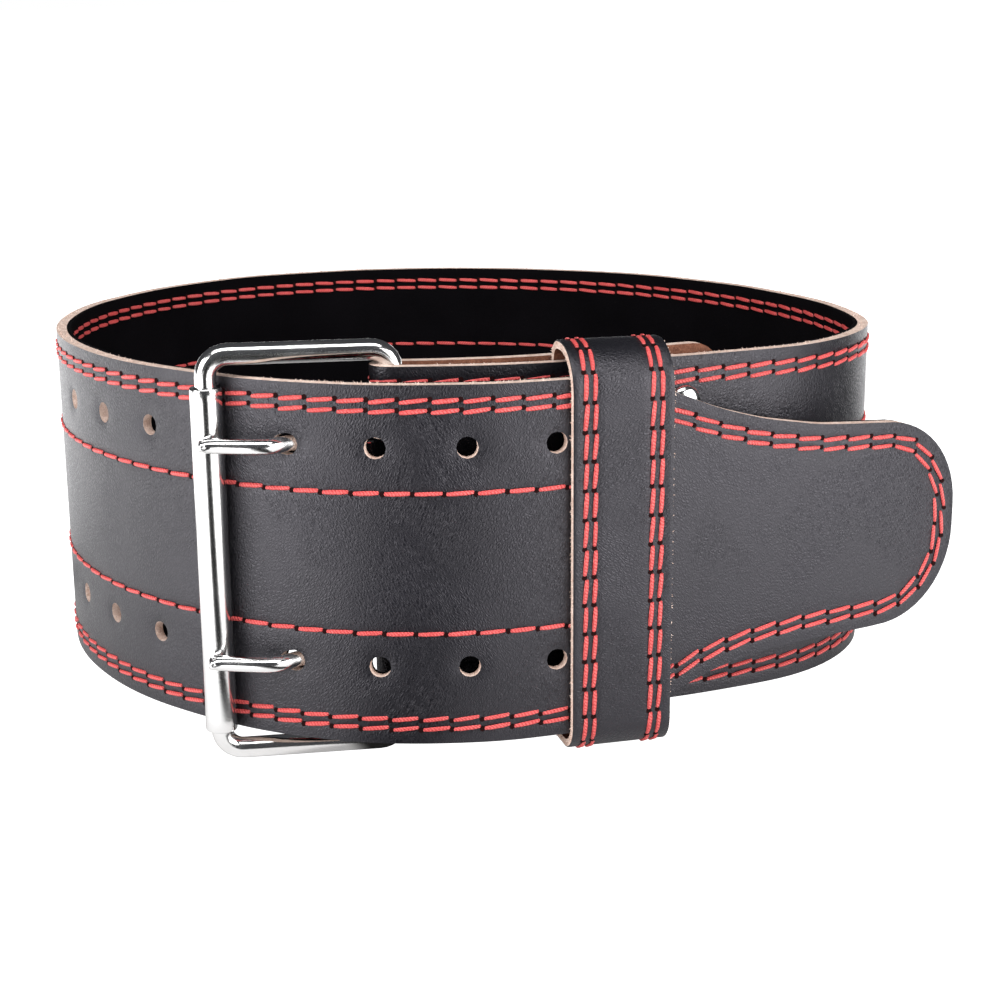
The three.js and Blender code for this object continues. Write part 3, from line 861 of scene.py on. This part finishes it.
def rod_along(path, section, sides, closed):
    """A rod swept along points: a round of the half widths that section gives is set square to the
    path at each point, and bridged."""
    rod = bmesh.new()
    rings = []
    count = len(path)
    for i, point in enumerate(path):
        before = path[i - 1] if closed or i else point
        after = path[(i + 1) % count] if closed or i < count - 1 else point
        way = (after - before).normalized()
        out = Vector((0, 0, 1)) if abs(way.z) < 0.3 else Vector((buckle_front.x, buckle_front.y, 0))
        across = out.cross(way).normalized() if abs(way.z) < 0.3 else way.cross(out).normalized()
        side = way.cross(across).normalized()
        place = Matrix((across, side, way)).transposed().to_4x4()
        place.translation = point
        wide, thick = section(i)
        made = bmesh.ops.create_circle(rod, segments=sides, radius=1,
                                       matrix=place @ Matrix.Diagonal((wide, thick, 1, 1)))
        rings.append(made["verts"])
    pairs = list(zip(rings, rings[1:])) + ([(rings[-1], rings[0])] if closed else [])
    for a, b in pairs:
        edges = [e for ring_verts in (a, b) for e in {e for v in ring_verts for e in v.link_edges}
                 if e.verts[0] in ring_verts and e.verts[1] in ring_verts]
        bmesh.ops.bridge_loops(rod, edges=edges)
    if not closed:
        bmesh.ops.holes_fill(rod, edges=[e for e in rod.edges if e.is_boundary], sides=0)
    return rod


half_span, r = FRAME_SPAN / 2, FRAME_CORNER
low_line, high_line = frame_low, frame_low + FRAME_HEIGHT
frame_path = []
for centre, first in (((half_span - r, low_line + r), -90), ((half_span - r, high_line - r), 0),
                      ((-half_span + r, high_line - r), 90), ((-half_span + r, low_line + r), 180)):
    for k in range(9):
        turn = math.radians(first + 90 * k / 8)
        frame_path.append(on_buckle(centre[0] + r * math.cos(turn), 0, centre[1] + r * math.sin(turn)))


def section_path():
    """The frame's path with points along its straight sides, too."""
    full = []
    for a, b in zip(frame_path, frame_path[1:] + frame_path[:1]):
        steps = max(1, int((b - a).length / 8))
        full += [a.lerp(b, k / steps) for k in range(steps)]
    return full


rod = rod_along(section_path(), lambda i: (BAR_RADIUS, BAR_RADIUS), 24, True)
bmesh.ops.recalc_face_normals(rod, faces=rod.faces[:])
bmesh.ops.transform(rod, matrix=stand, verts=rod.verts[:])
make_piece("frame_rod", rod, (nickel,), "belt", ("buckle_frame",))


# The roller is a tube rolled from plated sheet. It turns on the frame's front bar, so the tongue
# can be drawn over it tightly.
roller_tube = bmesh.new()
ROLLER_BORE = 3.8
tube_place = Matrix.Translation(roller_seat)
for radius in (ROLLER_RADIUS, ROLLER_BORE):
    bmesh.ops.create_cone(roller_tube, cap_ends=False, segments=40, radius1=radius, radius2=radius,
                          depth=ROLLER_LENGTH, matrix=tube_place)
for up in (ROLLER_LENGTH / 2, -ROLLER_LENGTH / 2):
    rims = [e for e in roller_tube.edges if all(abs(v.co.z - roller_seat.z - up) < 0.01 for v in e.verts)]
    bmesh.ops.bridge_loops(roller_tube, edges=rims)
bmesh.ops.recalc_face_normals(roller_tube, faces=roller_tube.faces[:])
rims = [e for e in roller_tube.edges if e.calc_face_angle(0) > 1]
bmesh.ops.bevel(roller_tube, geom=rims, offset=0.5, segments=3, profile=0.5, affect="EDGES", material=-1)
for up in range(-45, 50, 10):
    whole = roller_tube.faces[:] + roller_tube.edges[:] + roller_tube.verts[:]
    bmesh.ops.bisect_plane(roller_tube, geom=whole, dist=0.01,
                           plane_co=roller_seat + Vector((0, 0, up)), plane_no=(0, 0, 1))
bmesh.ops.transform(roller_tube, matrix=stand, verts=roller_tube.verts[:])
make_piece("roller_tube", roller_tube, (nickel,), "roller", ("roller",))


# The two prongs are forged from wire. An eye round the bar holds each, the shank passes out through
# a pair of holes, and its flattened end rests on the roller.
PRONG_RADIUS = 2.2
PRONG_EYE = 2.6
PRONG_PAST = 2.4
EYE_RADIUS = BAR_RADIUS + GAP + PRONG_EYE / 2


def prong_points():
    point, outward = loop_face(PRONG_HOLE)
    rest = ROLLER_RADIUS + GAP + PRONG_RADIUS
    eye = pivot + buckle_way * (BAR_RADIUS + GAP + PRONG_EYE / 2)
    behind = point - outward * (STRAP_ALL + GAP) - buckle_way * 2 * PRONG_RADIUS
    through = point - outward * STRAP_ALL / 3
    proud = point + outward * (PRONG_RADIUS + GAP) + buckle_way * 2 * PRONG_RADIUS
    on_roller = roller_plan + buckle_front * rest
    tip = on_roller + buckle_way * PRONG_PAST - buckle_front * GAP
    return [eye, behind, through, proud, on_roller, tip]


def curve_through(points, steps):
    """A smooth curve through points, closer where they are close."""
    padded = [points[0] * 2 - points[1]] + points + [points[-1] * 2 - points[-2]]
    curve = []
    for p0, p1, p2, p3 in zip(padded, padded[1:], padded[2:], padded[3:]):
        t0, t1 = 0, (p1 - p0).length ** 0.5
        t2 = t1 + (p2 - p1).length ** 0.5
        t3 = t2 + (p3 - p2).length ** 0.5
        for k in range(steps):
            t = t1 + (t2 - t1) * k / steps
            a1 = p0.lerp(p1, (t - t0) / (t1 - t0))
            a2 = p1.lerp(p2, (t - t1) / (t2 - t1))
            a3 = p2.lerp(p3, (t - t2) / (t3 - t2))
            curve.append(a1.lerp(a2, (t - t0) / (t2 - t0)).lerp(a2.lerp(a3, (t - t1) / (t3 - t1)),
                                                                (t - t1) / (t2 - t1)))
    return curve + [points[-1]]


prong_curve = curve_through(prong_points(), 7)
last = len(prong_curve) - 1


def prong_section(i):
    """The shank is round; near its end it is hammered wider and thinner."""
    flat = smooth((i - last + 11) / 9)
    end = 1 - 0.25 * smooth((i - last + 1.5) / 1.5)
    return PRONG_RADIUS * (1 + 0.4 * flat) * end, PRONG_RADIUS * (1 - 0.18 * flat) * end


for name, row in zip(("lower", "upper"), HOLE_ROWS):
    height = row + rise(PRONG_HOLE)
    shank = rod_along([Vector((p.x, p.y, height)) for p in prong_curve], prong_section, 16, False)
    bmesh.ops.recalc_face_normals(shank, faces=shank.faces[:])
    tip_rim = [e for e in shank.edges if e.calc_face_angle(0) > 1]
    bmesh.ops.bevel(shank, geom=tip_rim, offset=0.5, segments=3, profile=0.5, affect="EDGES", material=-1)
    eye_path = [Vector((pivot.x + EYE_RADIUS * math.cos(a), pivot.y + EYE_RADIUS * math.sin(a), height))
                for a in (math.tau * k / 28 for k in range(28))]
    eye_ring = rod_along(eye_path, lambda i: (PRONG_EYE / 2, PRONG_RADIUS), 14, True)
    bmesh.ops.recalc_face_normals(eye_ring, faces=eye_ring.faces[:])
    eye_mesh = bpy.data.meshes.new("eye")
    eye_ring.to_mesh(eye_mesh)
    eye_ring.free()
    shank.from_mesh(eye_mesh)
    bmesh.ops.transform(shank, matrix=stand, verts=shank.verts[:])
    make_piece("prong_pin_" + name, shank, (nickel,), "belt", ("prong_" + name,))


# Two domed steel rivets hold the folded end of the strap beside the keeper.
RIVET_AT = 82
RIVET_INSET = 13
RIVET_HEAD = 4.85
RIVET_DOME = 2.2
RIVET_SHANK = 2.0
rivet_point, rivet_out = loop_face(RIVET_AT)
rivet_depth = apart_at_keeper + LEATHER + GAP + bow(RIVET_AT, 2 * RIVET_HEAD)
for name, row in (("lower", RIVET_INSET), ("upper", STRAP_WIDTH - RIVET_INSET)):
    cap = bmesh.new()
    profile = [(0, -rivet_depth - 1.1), (RIVET_HEAD * 0.8, -rivet_depth - 1.0),
               (RIVET_HEAD * 0.9, -rivet_depth - 0.6), (RIVET_HEAD * 0.9, -rivet_depth),
               (RIVET_SHANK, -rivet_depth), (RIVET_SHANK, 0.05), (RIVET_HEAD, 0.05), (RIVET_HEAD, 0.45)]
    profile += [(RIVET_HEAD * math.cos(a), 0.6 + RIVET_DOME * math.sin(a))
                for a in (math.pi / 2 * k / 10 for k in range(1, 10))] + [(0, 0.6 + RIVET_DOME)]
    verts = [cap.verts.new((x, 0, z)) for x, z in profile]
    for a, b in zip(verts, verts[1:]):
        cap.edges.new((a, b))
    bmesh.ops.spin(cap, geom=cap.verts[:] + cap.edges[:], axis=(0, 0, 1), cent=(0, 0, 0), steps=32,
                   angle=math.tau, use_merge=True)
    bmesh.ops.remove_doubles(cap, verts=cap.verts[:], dist=0.001)
    bmesh.ops.recalc_face_normals(cap, faces=cap.faces[:])
    facing = Vector((rivet_out.x, rivet_out.y, 0)).to_track_quat("Z", "Y").to_matrix().to_4x4()
    place = Matrix.Translation((rivet_point.x, rivet_point.y, row + rise(RIVET_AT))) @ facing
    bmesh.ops.transform(cap, matrix=stand @ place, verts=cap.verts[:])
    make_piece("rivet_cap_" + name, cap, (nickel,), "belt", ("rivet_" + name,))


# The studio is a white table under a white sky, with soft lights. The table glows like a lamp: to the
# camera it is an even white, but the glow it sheds into the leather and the plate is painted light, dark in
# two wedges, one under the camera and one on the right, and fading near the belt as painted shade.
def glowing_white_stage():
    material, tree, shader = new_material("white table")
    shader.inputs["Roughness"].default_value = 0.9
    shader.inputs["Specular IOR Level"].default_value = 0
    shader.inputs["Emission Color"].default_value = (1, 1, 1, 1)
    place = add_node(tree, "ShaderNodeTexCoord").outputs["Object"]
    split = add_node(tree, "ShaderNodeSeparateXYZ", {0: place})

    def wedge(aside, aside_from, ahead, ahead_from, narrow, broad):
        """Nought inside a wedge of the table that opens along ahead, one outside it."""
        off = add_math(tree, "ABSOLUTE", add_math(tree, "ADD", aside, aside_from))
        on = add_math(tree, "MAXIMUM", add_math(tree, "ADD", ahead, ahead_from), 0.02)
        slope = add_math(tree, "DIVIDE", off, on)
        return ranged(tree, slope, narrow, broad, interpolation_type="SMOOTHSTEP")

    # Painted light: the glow that reaches the leather and the plate is dark inside these two wedges.
    forward = add_math(tree, "MULTIPLY", split.outputs[1], -1.0)
    before = wedge(split.outputs[0], 0.03, forward, -0.1, 0.2, 0.55)
    beside = wedge(split.outputs[1], -0.06, split.outputs[0], -0.1, 0.3, 0.9)
    both = add_math(tree, "MULTIPLY", before, beside)
    away = add_node(tree, "ShaderNodeVectorMath", {0: place}, operation="LENGTH").outputs["Value"]
    # Painted shade: the glow fades close to the belt, where the belt's shadow would fall.
    lit = add_math(tree, "MULTIPLY", both, ranged(tree, away, 0.12, 0.45, 0.1, 1.35))
    glow = ranged(tree, lit, 0.0, 1.0, 0.01, 1.9, clamp=False)
    seen = add_node(tree, "ShaderNodeLightPath").outputs["Is Camera Ray"]
    strength = add_node(tree, "ShaderNodeMix", {0: seen, 2: glow, 3: 1.2})
    tree.links.new(strength.outputs[0], shader.inputs["Emission Strength"])
    # Painted shade: to all but camera rays the table's colour is near-black inside the wedges.
    plain = add_math(tree, "MAXIMUM", seen, both)
    tone = mixed_tone(tree, plain, (0.02, 0.02, 0.02, 1), (0.6, 0.6, 0.6, 1))
    tree.links.new(tone, shader.inputs["Base Color"])
    return material


table = bmesh.new()
bmesh.ops.create_grid(table, x_segments=8, y_segments=8, size=20)
table_mesh = bpy.data.meshes.new("table")
table.to_mesh(table_mesh)
table.free()
table_piece = bpy.data.objects.new("table", table_mesh)
bpy.context.scene.collection.objects.link(table_piece)
table_piece.location.z = -0.0006
table_mesh.materials.append(glowing_white_stage())

world = bpy.data.worlds.new("white sky")
bpy.context.scene.world = world
world.use_nodes = True
sky = world.node_tree
sky.nodes.clear()
bright = add_node(sky, "ShaderNodeBackground", {"Color": (1, 1, 1, 1), "Strength": 1.0})
dim = add_node(sky, "ShaderNodeBackground", {"Color": (0.9, 0.93, 1, 1), "Strength": 0.07})
seen = add_node(sky, "ShaderNodeLightPath")
mixed = add_node(sky, "ShaderNodeMixShader", {0: seen.outputs["Is Camera Ray"], 1: dim.outputs[0],
                                              2: bright.outputs[0]})
add_node(sky, "ShaderNodeOutputWorld", {"Surface": mixed.outputs[0]})


def softbox(name, place, target, size, power):
    light = bpy.data.lights.new(name, "AREA")
    light.shape = "RECTANGLE"
    light.size, light.size_y = size
    light.energy = power
    lamp = bpy.data.objects.new(name, light)
    bpy.context.scene.collection.objects.link(lamp)
    lamp.location = place
    lamp.rotation_euler = (Vector(target) - Vector(place)).to_track_quat("-Z", "Y").to_euler()


softbox("softbox left", (-0.95, -0.68, 0.42), (-0.05, -0.05, 0.05), (0.8, 0.8), 13)
softbox("softbox right", (0.95, -0.68, 0.42), (0.05, -0.05, 0.05), (0.9, 0.8), 14)
softbox("softbox top", (0.0, -0.45, 0.85), (0, -0.1, 0.05), (0.9, 0.3), 6)

# The camera stands where the photograph was taken from.
lens = bpy.data.cameras.new("camera")
lens.lens = 64.33
lens.sensor_width = 36
camera = bpy.data.objects.new("camera", lens)
bpy.context.scene.collection.objects.link(camera)
turned = (Matrix.Rotation(math.radians(0.206), 3, "Z") @ Matrix.Rotation(math.radians(90 - 16.43), 3, "X")
          @ Matrix.Rotation(math.radians(-2.13), 3, "Z"))
camera.location = (0.00656, -0.57716, 0.21143)
camera.rotation_euler = turned.to_euler()
bpy.context.scene.camera = camera
bpy.context.scene.view_settings.view_transform = "Standard"
